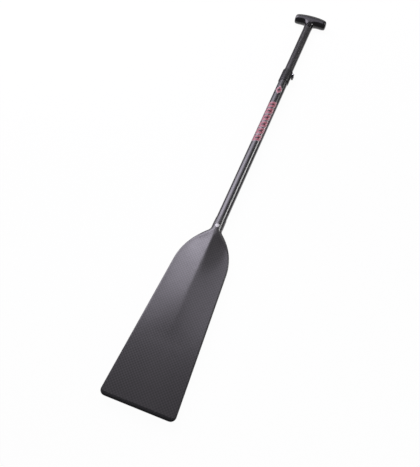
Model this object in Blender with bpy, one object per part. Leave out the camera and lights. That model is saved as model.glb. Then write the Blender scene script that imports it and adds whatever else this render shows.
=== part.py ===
"""Adjustable carbon dragon-boat paddle with a cam-lever clamp and a T-grip.

Row frame, metres: +X across the blade, +Y from the blade's tip towards the grip, +Z out of the
blade's front face. The paddle lies flat, and the origin is at the middle of its box, on the surface
that it lies on.
"""
import math

import bmesh
import bpy
from mathutils import Vector

MM = 0.001

# ---- driving dimensions, in millimetres; along the paddle they are measured from the blade's tip ----
LENGTH = 1306.0
FIT = 0.3                       # gap between pieces that touch

TIP_HALF_WIDTH = 89.5           # where the blade's straight edges would meet the tip line
EDGE_TAPER = 0.0585             # half-width lost per unit of length
CORNER_RADIUS = 13.0
SHOULDER_RADIUS = 152.0
FILLET_RADIUS = 15.6            # hollow corner between the shoulder and the neck
NECK_HALF_WIDTH = 14.9
FILLET_END = 477.8              # where the fillet runs out into the neck
NECK_END = 508.0
NECK_TOP_HALF_WIDTH = 14.5
EDGE_HALF_THICKNESS = 3.0
EDGE_FLAT = 0.6                 # square edge left on each skin where the two meet
SKIN = 1.0
SKIN_MARGIN = 5.0               # solid border where the skins meet
SKIN_COLUMNS = 10               # facets of a skin from its middle to its edge
CORE_START = 14.0
CORE_END = 446.0
CORE_MARGIN = 6.0               # between a core and the skins' solid border
CORE_TIP_INSET = 8.0            # extra at the tip, clear of the rounded corners
CORE_COLUMNS = (0.0, 0.12, 0.28, 0.46, 0.64, 0.82, 1.0)
TIP_GUARD_DEPTH = 8.0
TIP_FLAT_HALF = 1.6
TIP_STATIONS = (0.0, 0.4, 1.2, 2.4, 4.2, 6.2, TIP_GUARD_DEPTH)
RIDGE_START = 474.0             # the ridge is at full height from here to the grip
RIDGE_END = 165.0               # and has died away here
RIDGE_HOLLOW = 1.55             # exponent of the hollow flanks

SHAFT_RADIUS = 13.7
SHAFT_WALL = 0.7
SHAFT_START = 479.0
SHAFT_END = 1041.0
SPAR_START = 190.0
SPAR_SHOULDER = 478.0           # the spar is a bar below this and a plug in the tube above
SPAR_END = 515.0
SPAR_HALF_WIDTHS = (5.0, 9.0)
SPAR_CHAMFER_SHARE = 0.3
SPAR_FLAT_SHARE = 0.6
SHAFT_PLUG = (520.0, 555.0)
DISC_RADIUS = 5.25
DISC_THICKNESS = 0.5
DISC_LIFT = 0.25
DISC_Y = 480.5

COLLAR_RADIUS = 15.4
COLLAR_START = 1012.0
COLLAR_END = 1057.0
WIPER_DEPTH = 2.6
LEVER_PIVOT_X = 18.6
LEVER_PIVOT_Y = 1047.0
LEVER_HALF_WIDTH = 4.0
LEVER_OPEN_DEG = 150.0
LEVER_TIP_Y = 1034.0
CAM_CLOSED = 3.1                # cam radius that faces the shoe with the lever closed
CAM_OPEN = 2.5                  # and with the lever open
ARM_OUTER = [(2.9, -4.5), (3.0, -7.5)]        # (x, y) from the pivot, down the arm
ARM_INNER = [(-2.6, -8.0), (-2.7, -4.0)]      # and back up its inner side
ARM_TIP_RADIUS = 2.6
ARM_TIP_X = 0.4
LUG_THICKNESS = 2.2
LUG_ROOT_X = 13.6
LUG_RADIUS = 3.0
PIN_RADIUS = 1.5
PIN_HEAD_RADIUS = 2.7
PIN_HEAD_HEIGHT = 1.4
PIN_CLEARANCE = 0.15
SHOE_HALF_HEIGHT = 3.4
SHOE_HALF_LENGTH = 3.6
SHOE_BACK_X = 15.2

INNER_RADIUS = 12.7
INNER_WALL = 1.2
INNER_START = 910.0
INNER_END = 1252.0
BUSH_START = 895.0
BUSH_END = 903.0
BUNG = (1190.0, 1209.0)
SPIGOT = (1212.0, 1278.0)

GRIP_RADIUS = 16.5
GRIP_END_RADIUS = 14.4
GRIP_HALF_LENGTH = 49.5
GRIP_DROOP = 4.5                # how far the barrel's ends hang below its middle
GRIP_NECK_RADIUS = 13.0
GRIP_SHELL = 2.4

CAGE_SPREAD = 3 / (2 + math.cos(math.radians(45)))   # a cage of eight sides shrinks by this much
BARREL_COLUMNS = (-1.0, -0.93, -0.62, -0.34, 0.0, 0.34, 0.62, 0.93, 1.0)

AXIS_HEIGHT = GRIP_RADIUS       # the shaft's axis above the surface that the paddle lies on
SMOOTHING_LOSS = 0.27          # what the smoothing takes off the barrel's top
BARREL_Y = LENGTH - GRIP_RADIUS + SMOOTHING_LOSS

ROUND = 40                      # sides of the round pieces


# ---- helpers ----
def at(x, y, z):
    """A point in the row frame, in metres, from millimetres beside the shaft's axis."""
    return Vector((x, y - LENGTH / 2, z + AXIS_HEIGHT)) * MM


def smooth_step(low, high, value):
    t = min(max((value - low) / (high - low), 0.0), 1.0)
    return t * t * (3 - 2 * t)


def material(name, colour, roughness, metallic=0.0):
    made = bpy.data.materials.new(name)
    made.use_nodes = True
    shader = made.node_tree.nodes["Principled BSDF"]
    shader.inputs["Base Color"].default_value = (*colour, 1.0)
    shader.inputs["Roughness"].default_value = roughness
    shader.inputs["Metallic"].default_value = metallic
    return made


def add_object(name, mesh_data, look, place=Vector((0, 0, 0)), smooth_angle=35.0):
    """A named object from a bmesh whose points are in metres about the given place."""
    bmesh.ops.recalc_face_normals(mesh_data, faces=mesh_data.faces)
    mesh = bpy.data.meshes.new(name)
    mesh_data.to_mesh(mesh)
    mesh_data.free()
    mesh.shade_smooth()
    mesh.set_sharp_from_angle(angle=math.radians(smooth_angle))
    mesh.materials.append(look)
    piece = bpy.data.objects.new(name, mesh)
    piece.location = place
    bpy.context.collection.objects.link(piece)
    return piece


def turned(name, profile, look, place, sides=ROUND, sweep_deg=360.0):
    """A closed (radius, height) profile turned about the piece's own Y axis."""
    made = bmesh.new()
    full = sweep_deg >= 360.0
    count = sides if full else sides + 1
    rings = []
    for index in range(count):
        angle = math.radians(sweep_deg) * index / sides
        ring = [made.verts.new(Vector((r * math.sin(angle), y, r * math.cos(angle))) * MM)
                for r, y in profile]
        rings.append(ring)
    for index in range(count if full else count - 1):
        here = rings[index]
        after = rings[(index + 1) % count]
        for k in range(len(profile)):
            n = (k + 1) % len(profile)
            corners = [here[k], here[n], after[n], after[k]]
            made.faces.new(list(dict.fromkeys(corners)))
    if not full:
        made.faces.new(rings[0])
        made.faces.new(rings[-1])
    bmesh.ops.remove_doubles(made, verts=made.verts, dist=1e-6)
    return add_object(name, made, look, place)


def tube_profile(outer, inner, start, end):
    return [(outer, start), (outer, end), (inner, end), (inner, start)]


def rod_profile(radius, start, end, chamfer=0.4):
    return [(0, start), (radius - chamfer, start), (radius, start + chamfer),
            (radius, end - chamfer), (radius - chamfer, end), (0, end)]


def plate(name, outline, half_height, look, place):
    """A flat (x, y) outline with equal thickness on both sides of the piece's own z = 0."""
    made = bmesh.new()
    low = [made.verts.new(Vector((x, y, -half_height)) * MM) for x, y in outline]
    high = [made.verts.new(Vector((x, y, half_height)) * MM) for x, y in outline]
    made.faces.new(low)
    made.faces.new(high)
    for k in range(len(outline)):
        n = (k + 1) % len(outline)
        made.faces.new((low[k], low[n], high[n], high[k]))
    return add_object(name, made, look, place)


def turned_upright(name, profile, look, place, sides=20):
    """A turned piece whose axis is parallel to Z."""
    piece = turned(name, profile, look, place, sides)
    piece.rotation_euler = (math.radians(90), 0, 0)
    return piece


def cutter(piece):
    piece.hide_render = True
    piece.display_type = "WIRE"
    return piece


def cut(piece, tool, operation="DIFFERENCE"):
    change = piece.modifiers.new(tool.name, "BOOLEAN")
    change.operation = operation
    change.solver = "EXACT"
    change.object = tool
    return change


def spiral(centre, radii, start_deg, end_deg, steps):
    """Points on a turn whose radius goes evenly from one value to another, both ends included."""
    points = []
    for k in range(steps + 1):
        angle = math.radians(start_deg + (end_deg - start_deg) * k / steps)
        radius = radii[0] + (radii[1] - radii[0]) * k / steps
        points.append((centre[0] + radius * math.cos(angle), centre[1] + radius * math.sin(angle)))
    return points


def arc(centre, radius, start_deg, end_deg, steps):
    return spiral(centre, (radius, radius), start_deg, end_deg, steps)


# ---- the blade's shape ----
def shoulder_centre():
    """Centre of the shoulder arc, which touches the straight edge and the fillet's arc."""
    slope = math.sqrt(1 + EDGE_TAPER ** 2)
    both = SHOULDER_RADIUS + FILLET_RADIUS
    offset = NECK_HALF_WIDTH + FILLET_RADIUS - TIP_HALF_WIDTH + SHOULDER_RADIUS * slope
    a = slope ** 2
    b = 2 * (offset * EDGE_TAPER - FILLET_END)
    c = offset ** 2 + FILLET_END ** 2 - both ** 2
    y = (-b - math.sqrt(b * b - 4 * a * c)) / (2 * a)
    return TIP_HALF_WIDTH - EDGE_TAPER * y - SHOULDER_RADIUS * slope, y


SHOULDER_X, SHOULDER_Y = shoulder_centre()
SHOULDER_START = SHOULDER_Y + SHOULDER_RADIUS * EDGE_TAPER / math.sqrt(1 + EDGE_TAPER ** 2)
FILLET_X = NECK_HALF_WIDTH + FILLET_RADIUS
SHOULDER_SHARE = SHOULDER_RADIUS / (SHOULDER_RADIUS + FILLET_RADIUS)
FILLET_START = SHOULDER_Y + (FILLET_END - SHOULDER_Y) * SHOULDER_SHARE


def half_width(y):
    """The blade's half-width: tip corner, straight edge, shoulder arc, fillet arc, neck."""
    if y < CORNER_RADIUS:
        edge = TIP_HALF_WIDTH - EDGE_TAPER * CORNER_RADIUS - CORNER_RADIUS
        return edge + math.sqrt(CORNER_RADIUS ** 2 - (CORNER_RADIUS - y) ** 2)
    if y < SHOULDER_START:
        return TIP_HALF_WIDTH - EDGE_TAPER * y
    if y < FILLET_START:
        return SHOULDER_X + math.sqrt(SHOULDER_RADIUS ** 2 - (y - SHOULDER_Y) ** 2)
    if y < FILLET_END:
        return FILLET_X - math.sqrt(FILLET_RADIUS ** 2 - (y - FILLET_END) ** 2)
    return NECK_HALF_WIDTH + (NECK_TOP_HALF_WIDTH - NECK_HALF_WIDTH) * smooth_step(490, NECK_END, y)


def neck_share(y):
    """0 on the flat blade, 1 where the section is the shaft's circle."""
    return smooth_step(410.0, 476.0, y)


def surface(x, y):
    """Height of the front face above the blade's middle plane."""
    width = half_width(y)
    neck = neck_share(y)
    inward = max(width - abs(x), 0.0)
    curl = EDGE_HALF_THICKNESS + (width - EDGE_HALF_THICKNESS) * neck ** 2
    rim_height = EDGE_HALF_THICKNESS + (min(width, NECK_HALF_WIDTH) - EDGE_HALF_THICKNESS) * neck ** 2
    rim = rim_height * math.sqrt(1 - (1 - min(inward / curl, 1.0)) ** 2)
    fall = min(max((y - RIDGE_END) / (RIDGE_START - RIDGE_END), 0.0), 1.0)
    ridge_height = EDGE_HALF_THICKNESS + (NECK_HALF_WIDTH - EDGE_HALF_THICKNESS) * fall ** 1.25
    tent = (inward / width) ** RIDGE_HOLLOW
    return max(rim + max(ridge_height - rim_height, 0.0) * tent, FIT / 2 + EDGE_FLAT)


def cavity(x, y):
    """Height of the front skin's inner face: its hollow, and its solid border."""
    border = FIT / 2
    if y >= SHAFT_START - 1.0:
        bore = SHAFT_RADIUS + FIT
        if abs(x) >= bore:
            return border
        return math.sqrt(bore ** 2 - x ** 2)
    if y < TIP_GUARD_DEPTH + SKIN_MARGIN or abs(x) > half_width(y) - SKIN_MARGIN:
        return border
    return max(surface(x, y) - SKIN, border)


def across(count):
    """Shares of the half-width from edge to edge, closer together towards the edges."""
    return [math.sin(math.pi / 2 * k / count) for k in range(-count, count + 1)]


def filling(x, y):
    """How high a piece inside the blade may stand at a point: below the skins' own flat facets."""
    width = half_width(y)
    points = [(share * width, cavity(share * width, y)) for share in across(SKIN_COLUMNS)]
    for (low_x, low), (high_x, high) in zip(points, points[1:]):
        if low_x <= x <= high_x:
            return low + (high - low) * (x - low_x) / (high_x - low_x) - 2 * FIT
    return 0.0


def stations(start, end, count):
    return [start + (end - start) * k / (count - 1) for k in range(count)]


def blade_stations():
    """Where the blade's cross-sections are: closer at the tip corners and round the shoulder."""
    tip = TIP_GUARD_DEPTH + FIT
    plain = stations(tip + SKIN_MARGIN, SHOULDER_START, 12)
    shoulder = stations(SHOULDER_START, FILLET_START, 9)[1:]
    fillet = stations(FILLET_START, SHAFT_START - 1.2, 6)[1:]
    neck = [SHAFT_START - 0.9] + stations(SHAFT_START + 6, NECK_END, 4)
    return [tip, tip + SKIN_MARGIN - 0.5] + plain + shoulder + fillet + neck


def lofted(name, rows, look):
    """A closed solid between an upper and a lower grid; rows hold (x, y, low z, high z) points."""
    made = bmesh.new()
    low = [[made.verts.new(at(x, y, below)) for x, y, below, above in row] for row in rows]
    high = [[made.verts.new(at(x, y, above)) for x, y, below, above in row] for row in rows]
    last_row = len(rows) - 1
    last = len(rows[0]) - 1
    for r in range(last_row):
        for k in range(last):
            made.faces.new((high[r][k], high[r][k + 1], high[r + 1][k + 1], high[r + 1][k]))
            made.faces.new((low[r][k], low[r + 1][k], low[r + 1][k + 1], low[r][k + 1]))
        for k in (0, last):
            made.faces.new((low[r][k], low[r + 1][k], high[r + 1][k], high[r][k]))
    for r in (0, last_row):
        for k in range(last):
            made.faces.new((low[r][k], low[r][k + 1], high[r][k + 1], high[r][k]))
    return add_object(name, made, look)


def blade_skin(name, side, look):
    """One carbon skin: side is 1 for the front and -1 for the back."""
    rows = []
    for y in blade_stations():
        width = half_width(y)
        row = []
        for share in across(SKIN_COLUMNS):
            x = share * width
            inner, outer = cavity(x, y), surface(x, y)
            row.append((x, y, inner, outer) if side > 0 else (x, y, -outer, -inner))
        rows.append(row)
    return lofted(name, rows, look)


def spar_half_width(y):
    low, high = SPAR_HALF_WIDTHS
    return low + (high - low) * smooth_step(SPAR_START, SPAR_SHOULDER, y)


def blade_spar(look):
    """The stub that carries the shaft's load into the blade: a bar below, a plug in the tube above."""
    body = []
    for y in [y for y in blade_stations() if SPAR_START < y < SPAR_SHOULDER]:
        half = spar_half_width(y)
        height = filling(half, y)
        side_height = height * (1 - SPAR_CHAMFER_SHARE)
        flat = half * SPAR_FLAT_SHARE
        body.append([(-half, y, -side_height, side_height), (-flat, y, -height, height),
                     (flat, y, -height, height), (half, y, -side_height, side_height)])
    bar = lofted("blade_spar", body, look)
    plug_radius = SHAFT_RADIUS - SHAFT_WALL - FIT
    low = SPAR_SHOULDER - 6.0
    root = SPAR_HALF_WIDTHS[1]
    profile = [(0, low), (root - 0.5, low), (root, SPAR_SHOULDER + 2.5),
               (plug_radius, SPAR_SHOULDER + 5.0), (plug_radius, SPAR_END), (0, SPAR_END)]
    plug = turned("spar_plug", profile, look, at(0, 0, 0), 24)
    cutter(plug)
    cut(bar, plug, "UNION")
    return bar


def blade_core(name, side, look):
    """The foam on one side of the spar."""
    rows = []
    for y in [y for y in blade_stations() if CORE_START < y < CORE_END]:
        inner_x = FIT + (spar_half_width(y) if y > SPAR_START - 30.0 else 0.0)
        tip_inset = CORE_TIP_INSET * (1 - smooth_step(20, 60, y))
        outer_x = half_width(y) - SKIN_MARGIN - CORE_MARGIN - tip_inset
        row = []
        for share in CORE_COLUMNS:
            x = inner_x + (outer_x - inner_x) * share
            height = filling(x, y)
            row.append((side * x, y, -height, height))
        rows.append(row if side > 0 else row[::-1])
    return lofted(name, rows, look)


def tip_guard(look):
    """The hard strip across the tip, with a flat end and a rounded bevel on both faces."""
    rows = []
    for y in TIP_STATIONS:
        share = min(y / (TIP_GUARD_DEPTH - 1.0), 1.0)
        height = TIP_FLAT_HALF + (EDGE_HALF_THICKNESS - TIP_FLAT_HALF) * math.sqrt(1 - (1 - share) ** 2)
        width = half_width(y)
        row = []
        for k in across(8):
            inward = width * (1 - abs(k))
            curl = min(inward / EDGE_HALF_THICKNESS, 1.0)
            here = max(height * math.sqrt(1 - (1 - curl) ** 2), EDGE_FLAT + FIT / 2)
            if y == 0.0:
                here = TIP_FLAT_HALF if inward > 2.0 else EDGE_FLAT + FIT / 2
            row.append((k * width, y, -here, here))
        rows.append(row)
    return lofted("blade_tip_guard", rows, look)


def approval_disc(look):
    """A thin blank disc that follows the front of the neck."""
    made = bmesh.new()
    sides = 20
    centre = []
    rings = {}
    for layer, lift in ((0, DISC_LIFT), (1, DISC_LIFT + DISC_THICKNESS)):
        centre.append(made.verts.new(at(0, DISC_Y, surface(0, DISC_Y) + lift)))
        for ring, share in ((0, 0.5), (1, 1.0)):
            radius = DISC_RADIUS * share
            points = []
            for k in range(sides):
                angle = 2 * math.pi * k / sides
                x = radius * math.cos(angle)
                y = DISC_Y + radius * math.sin(angle)
                points.append(made.verts.new(at(x, y, surface(x, max(y, RIDGE_START)) + lift)))
            rings[layer, ring] = points
    for k in range(sides):
        n = (k + 1) % sides
        for layer in (0, 1):
            inner, outer = rings[layer, 0], rings[layer, 1]
            made.faces.new((centre[layer], inner[k], inner[n]))
            made.faces.new((inner[k], outer[k], outer[n], inner[n]))
        made.faces.new((rings[0, 1][k], rings[1, 1][k], rings[1, 1][n], rings[0, 1][n]))
    return add_object("approval_disc", made, look)


# ---- the shaft and its clamp ----
def main_shaft(look):
    profile = tube_profile(SHAFT_RADIUS, SHAFT_RADIUS - SHAFT_WALL, SHAFT_START, SHAFT_END)
    return turned("main_shaft", profile, look, at(0, 0, 0))


def foam_plug(name, span, radius, look):
    middle = sum(span) / 2
    half = (span[1] - span[0]) / 2
    return turned(name, rod_profile(radius, -half, half, 1.5), look, at(0, middle, 0), 24)


def clamp_collar(look):
    """The sleeve bonded over the shaft's end, with two lugs for the lever and a window for the shoe."""
    low = COLLAR_START - LEVER_PIVOT_Y
    high = COLLAR_END - LEVER_PIVOT_Y
    step = SHAFT_END + FIT - LEVER_PIVOT_Y
    over_shaft = SHAFT_RADIUS + FIT
    over_tube = INNER_RADIUS + FIT
    over_wiper = COLLAR_RADIUS - 0.9
    profile = [(over_shaft, low), (COLLAR_RADIUS - 0.5, low), (COLLAR_RADIUS, low + 0.6),
               (COLLAR_RADIUS, high - 1.0), (COLLAR_RADIUS - 0.6, high), (over_wiper, high),
               (over_wiper, high - WIPER_DEPTH - FIT), (over_tube, high - WIPER_DEPTH - FIT),
               (over_tube, step), (over_shaft, step)]
    place = at(0, LEVER_PIVOT_Y, 0)
    collar = turned("clamp_collar", profile, look, place)
    lug_outline = [(LUG_ROOT_X, -5.5)] + arc((LEVER_PIVOT_X, 0), LUG_RADIUS, -60, 90, 8)
    lug_outline.append((LUG_ROOT_X, 5.0))
    pin_hole = turned_upright("pin_hole", rod_profile(PIN_RADIUS + PIN_CLEARANCE, -12, 12, 0.1),
                                   look, at(LEVER_PIVOT_X, LEVER_PIVOT_Y, 0), 16)
    cutter(pin_hole)
    for side in (-1, 1):
        offset = side * (LEVER_HALF_WIDTH + FIT + LUG_THICKNESS / 2)
        lug = plate(f"lug_{'back' if side < 0 else 'front'}", lug_outline, LUG_THICKNESS / 2, look,
                    place + Vector((0, 0, offset)) * MM)
        cutter(lug)
        cut(collar, lug, "UNION")
    window_x = (11.0, COLLAR_RADIUS + 1.0)
    half_length = SHOE_HALF_LENGTH + FIT
    window = plate("window", [(window_x[0], -half_length), (window_x[1], -half_length),
                              (window_x[1], half_length), (window_x[0], half_length)],
                   SHOE_HALF_HEIGHT + FIT, look, place)
    cutter(window)
    cut(collar, window)
    cut(collar, pin_hole)
    return collar


def wiper_ring(look):
    outer = COLLAR_RADIUS - 0.9 - FIT / 2
    inner = INNER_RADIUS + 0.15
    profile = [(outer, -WIPER_DEPTH), (outer, 0.0), (inner + 0.5, 0.3), (inner, -0.2), (inner, -WIPER_DEPTH)]
    return turned("wiper_ring", profile, look, at(0, COLLAR_END, 0))


def cam_lever(look):
    """The lever about its pin: a spiral cam towards the shaft, and an arm along it."""
    outline = spiral((0, 0), (CAM_CLOSED, CAM_OPEN), 180.0, 180.0 - LEVER_OPEN_DEG, 10)
    outline += arc((0, 0), CAM_OPEN, 15, -30, 3)
    tip = LEVER_TIP_Y - LEVER_PIVOT_Y
    outline += ARM_OUTER
    outline += arc((ARM_TIP_X, tip + ARM_TIP_RADIUS), ARM_TIP_RADIUS, 0, -180, 6)
    outline += ARM_INNER
    outline += arc((0, 0), CAM_CLOSED, 205, 190, 2)
    lever = plate("cam_lever", outline, LEVER_HALF_WIDTH, look, at(LEVER_PIVOT_X, LEVER_PIVOT_Y, 0))
    hole = turned_upright("lever_hole", rod_profile(PIN_RADIUS + PIN_CLEARANCE, -6, 6, 0.1),
                               look, at(LEVER_PIVOT_X, LEVER_PIVOT_Y, 0), 16)
    cutter(hole)
    cut(lever, hole)
    return lever


def lever_pin(look):
    """A steel pin with a domed head on the front lug."""
    face = LEVER_HALF_WIDTH + FIT + LUG_THICKNESS + 0.2
    tail = -face - 1.2
    dome = [(PIN_HEAD_RADIUS * math.cos(a), face + 0.5 + (PIN_HEAD_HEIGHT - 0.5) * math.sin(a))
            for a in (math.radians(d) for d in (0, 30, 60))]
    profile = [(0, tail), (PIN_RADIUS, tail), (PIN_RADIUS, face), (PIN_HEAD_RADIUS, face)] + dome
    profile.append((0, face + PIN_HEAD_HEIGHT))
    return turned_upright("lever_pin", profile, look, at(LEVER_PIVOT_X, LEVER_PIVOT_Y, 0), 16)


def pin_clip(look):
    """The push-on ring that holds the pin's tail behind the back lug."""
    face = -(LEVER_HALF_WIDTH + FIT + LUG_THICKNESS + 0.2)
    profile = tube_profile(PIN_HEAD_RADIUS - 0.2, PIN_RADIUS + PIN_CLEARANCE, face - 0.8, face)
    return turned_upright("pin_clip", profile, look, at(LEVER_PIVOT_X, LEVER_PIVOT_Y, 0), 16)


def brake_shoe(look):
    """The block in the collar's window that the cam presses on the inner tube."""
    hollow = INNER_RADIUS + FIT
    outline = [(hollow - 2.0, -SHOE_HALF_LENGTH), (SHOE_BACK_X, -SHOE_HALF_LENGTH),
               (SHOE_BACK_X, SHOE_HALF_LENGTH), (hollow - 2.0, SHOE_HALF_LENGTH)]
    shoe = plate("brake_shoe", outline, SHOE_HALF_HEIGHT, look, at(0, LEVER_PIVOT_Y, 0))
    bore = turned("shoe_bore", rod_profile(hollow, -8, 8), look, at(0, LEVER_PIVOT_Y, 0), 64)
    cutter(bore)
    cut(shoe, bore)
    return shoe


# ---- the sliding tube and the grip ----
def inner_tube(look):
    profile = tube_profile(INNER_RADIUS, INNER_RADIUS - INNER_WALL, INNER_START, INNER_END)
    return turned("inner_tube", profile, look, at(0, 0, 0))


def tube_end_plug(look):
    """Closes the sliding tube's lower end; the guide bush turns on its neck."""
    spigot = INNER_RADIUS - INNER_WALL - FIT
    flange = INNER_RADIUS - 0.2
    neck = 9.0
    profile = [(0, BUSH_START - 3.5), (flange - 1.0, BUSH_START - 3.5), (flange, BUSH_START - 2.5),
               (flange, BUSH_START - FIT), (neck, BUSH_START - FIT), (neck, BUSH_END + FIT),
               (flange, BUSH_END + FIT), (flange, INNER_START - FIT), (spigot, INNER_START - FIT),
               (spigot, INNER_START + 15.0), (0, INNER_START + 15.0)]
    return turned("tube_end_plug", profile, look, at(0, 0, 0), 32)


def guide_bush(look):
    """A split ring that slides in the shaft with the tube, while the tube turns inside it."""
    profile = tube_profile(SHAFT_RADIUS - SHAFT_WALL - 0.15, 9.3, BUSH_START, BUSH_END)
    return turned("guide_bush", profile, look, at(0, 0, 0), ROUND, 350.0)


def barrel_rings(made, shrink):
    """The cage of the grip's barrel: rings of eight points, thicker and higher in the middle."""
    spread = CAGE_SPREAD
    rings = []
    for share in BARREL_COLUMNS:
        radius = GRIP_RADIUS + (GRIP_END_RADIUS - GRIP_RADIUS) * share ** 2 - shrink
        if abs(share) == 1.0:
            radius *= 0.62
        middle = BARREL_Y - GRIP_DROOP * share ** 2
        ring = []
        for side in range(8):
            angle = math.radians(45 * side - 90)
            ring.append(made.verts.new(at((GRIP_HALF_LENGTH - shrink) * share,
                                          middle + radius * spread * math.sin(angle),
                                          radius * spread * math.cos(angle))))
        rings.append(ring)
    return rings


def grip_solid(name, shrink, levels, look, with_neck):
    """A smooth barrel, or a barrel on its neck, under a Subdivision Surface."""
    made = bmesh.new()
    rings = barrel_rings(made, shrink)
    centre = len(rings) // 2
    under = {(column, side) for column in (centre - 1, centre) for side in (7, 0)} if with_neck else set()
    for column in range(len(rings) - 1):
        for side in range(8):
            if (column, side) not in under:
                n = (side + 1) % 8
                made.faces.new((rings[column][side], rings[column + 1][side],
                                rings[column + 1][n], rings[column][n]))
    made.faces.new(rings[0])
    made.faces.new(rings[-1][::-1])
    if with_neck:
        left, middle, right = rings[centre - 1], rings[centre], rings[centre + 1]
        previous = [left[7], middle[7], right[7], right[0], right[1], middle[1], left[1], left[0]]
        neck_radius = (GRIP_NECK_RADIUS - shrink) * CAGE_SPREAD
        neck_end = INNER_END + FIT
        for y in (BARREL_Y - 22.0, BARREL_Y - 28.5, neck_end + 1.0, neck_end):
            ring = []
            for side in range(8):
                angle = math.radians(45 * side - 135)
                ring.append(made.verts.new(at(neck_radius * math.cos(angle), y,
                                              neck_radius * math.sin(angle))))
            for k in range(8):
                n = (k + 1) % 8
                made.faces.new((previous[k], previous[n], ring[n], ring[k]))
            previous = ring
        made.faces.new(previous)
    piece = add_object(name, made, look)
    rounding = piece.modifiers.new("rounding", "SUBSURF")
    rounding.levels = levels
    rounding.render_levels = levels
    return piece


def grip_cutters(look):
    """The barrel's hollow, and the hole that the spigot fills."""
    hollow = cutter(grip_solid("grip_hollow", GRIP_SHELL, 1, look, False))
    radius = INNER_RADIUS - INNER_WALL
    hole = turned("spigot_hole", [(0, INNER_END - 8), (radius, INNER_END - 8),
                                  (radius, SPIGOT[1] + FIT), (0, SPIGOT[1] + FIT)], look, at(0, 0, 0), 24)
    return hollow, cutter(hole)


def grip_shell(name, side, cutters, look):
    """Half of the moulded T, split at the plane through the barrel and the shaft."""
    shell = grip_solid(name, 0.0, 2, look, True)
    reach = GRIP_HALF_LENGTH + 10.0
    bottom = INNER_END - 10.0
    box = plate(f"{name}_half", [(-reach, bottom), (reach, bottom), (reach, LENGTH + 10.0),
                                 (-reach, LENGTH + 10.0)], 15.0, look,
                at(0, 0, side * (15.0 + FIT / 2)))
    cutter(box)
    for tool in cutters:
        cut(shell, tool)
    cut(shell, box, "INTERSECT")
    return shell


def grip_core(spigot_hole, look):
    core = grip_solid("grip_core", GRIP_SHELL + FIT, 1, look, False)
    cut(core, spigot_hole)
    return core


def grip_spigot(look):
    outer = INNER_RADIUS - INNER_WALL - FIT
    return turned("grip_spigot", tube_profile(outer, outer - 1.2, *SPIGOT), look, at(0, 0, 0), 24)


def main():
    for old in list(bpy.data.objects):
        bpy.data.objects.remove(old, do_unlink=True)

    carbon = material("carbon", (0.045, 0.042, 0.048), 0.38)
    carbon_core = material("carbon_core", (0.03, 0.03, 0.032), 0.6)
    foam = material("foam", (0.75, 0.72, 0.62), 0.9)
    resin = material("resin", (0.02, 0.02, 0.022), 0.45)
    white = material("white_vinyl", (0.9, 0.9, 0.9), 0.35)
    nylon = material("black_nylon", (0.015, 0.015, 0.016), 0.3)
    rubber = material("rubber", (0.02, 0.02, 0.02), 0.8)
    steel = material("steel", (0.75, 0.75, 0.76), 0.2, 1.0)
    acetal = material("acetal", (0.8, 0.8, 0.78), 0.45)
    gloss = material("grip_gloss", (0.012, 0.011, 0.013), 0.18)

    blade_skin("blade_front_skin", 1, carbon)
    blade_skin("blade_back_skin", -1, carbon)
    blade_spar(carbon_core)
    blade_core("blade_core_left", -1, foam)
    blade_core("blade_core_right", 1, foam)
    tip_guard(resin)
    approval_disc(white)

    main_shaft(carbon)
    foam_plug("shaft_foam_plug", SHAFT_PLUG, SHAFT_RADIUS - SHAFT_WALL - FIT, foam)
    clamp_collar(nylon)
    wiper_ring(rubber)
    cam_lever(nylon)
    lever_pin(steel)
    pin_clip(steel)
    brake_shoe(rubber)

    inner_tube(carbon)
    tube_end_plug(nylon)
    guide_bush(acetal)
    foam_plug("tube_foam_bung", BUNG, INNER_RADIUS - INNER_WALL - FIT, foam)
    grip_spigot(carbon_core)
    hollow, spigot_hole = grip_cutters(gloss)
    grip_shell("grip_front_shell", 1, (hollow, spigot_hole), gloss)
    grip_shell("grip_rear_shell", -1, (hollow, spigot_hole), gloss)
    grip_core(spigot_hole, foam)


main()
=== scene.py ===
import math

import bmesh
import bpy
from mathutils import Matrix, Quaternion, Vector


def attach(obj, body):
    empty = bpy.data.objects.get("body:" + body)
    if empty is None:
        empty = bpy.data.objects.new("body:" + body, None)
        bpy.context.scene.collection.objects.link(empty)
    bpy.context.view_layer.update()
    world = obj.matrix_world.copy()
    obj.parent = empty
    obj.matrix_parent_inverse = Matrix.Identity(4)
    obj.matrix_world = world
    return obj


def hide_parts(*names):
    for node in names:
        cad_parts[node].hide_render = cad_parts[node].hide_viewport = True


# Looks for an adjustable carbon paddle: woven blade and tubes, moulded clamp, gloss T-grip.
# Row frame, metres: +X across the blade, +Y from its tip towards the grip, +Z out of its front face.

MM = 0.001

# ---- sizes of the CAD part, in millimetres; along the paddle they are measured from the blade's tip ----
LENGTH = 1306.0
FIT = 0.3                         # gap between pieces that touch

TIP_HALF_WIDTH = 89.5             # where the blade's straight edges would meet the tip line
EDGE_TAPER = 0.0585               # half-width lost per unit of length
CORNER_RADIUS = 13.0
SHOULDER_RADIUS = 152.0
FILLET_RADIUS = 15.6              # hollow corner between the shoulder and the neck
NECK_RISE = (410.0, 476.0)        # the edge swells from the blade's rim to the round neck between these
NECK_HALF_WIDTH = 14.9
FILLET_END = 477.8                # where the fillet runs out into the neck
NECK_TAPER_START = 490.0
NECK_END = 508.0
NECK_TOP_HALF_WIDTH = 14.5
EDGE_HALF_THICKNESS = 3.0
EDGE_FLAT = 0.6                   # square edge left on each skin where the two meet
SKIN = 1.0
SKIN_MARGIN = 5.0                 # solid border where the skins meet
TIP_GUARD_DEPTH = 8.0
TIP_FLAT_HALF = 1.6
RIDGE_START = 474.0               # the ridge is at full height from here to the grip
RIDGE_END = 165.0                 # and has died away here
RIDGE_FALL = 1.25                 # exponent of its slope between the two
RIDGE_HOLLOW = 1.55               # exponent of the hollow flanks
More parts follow.
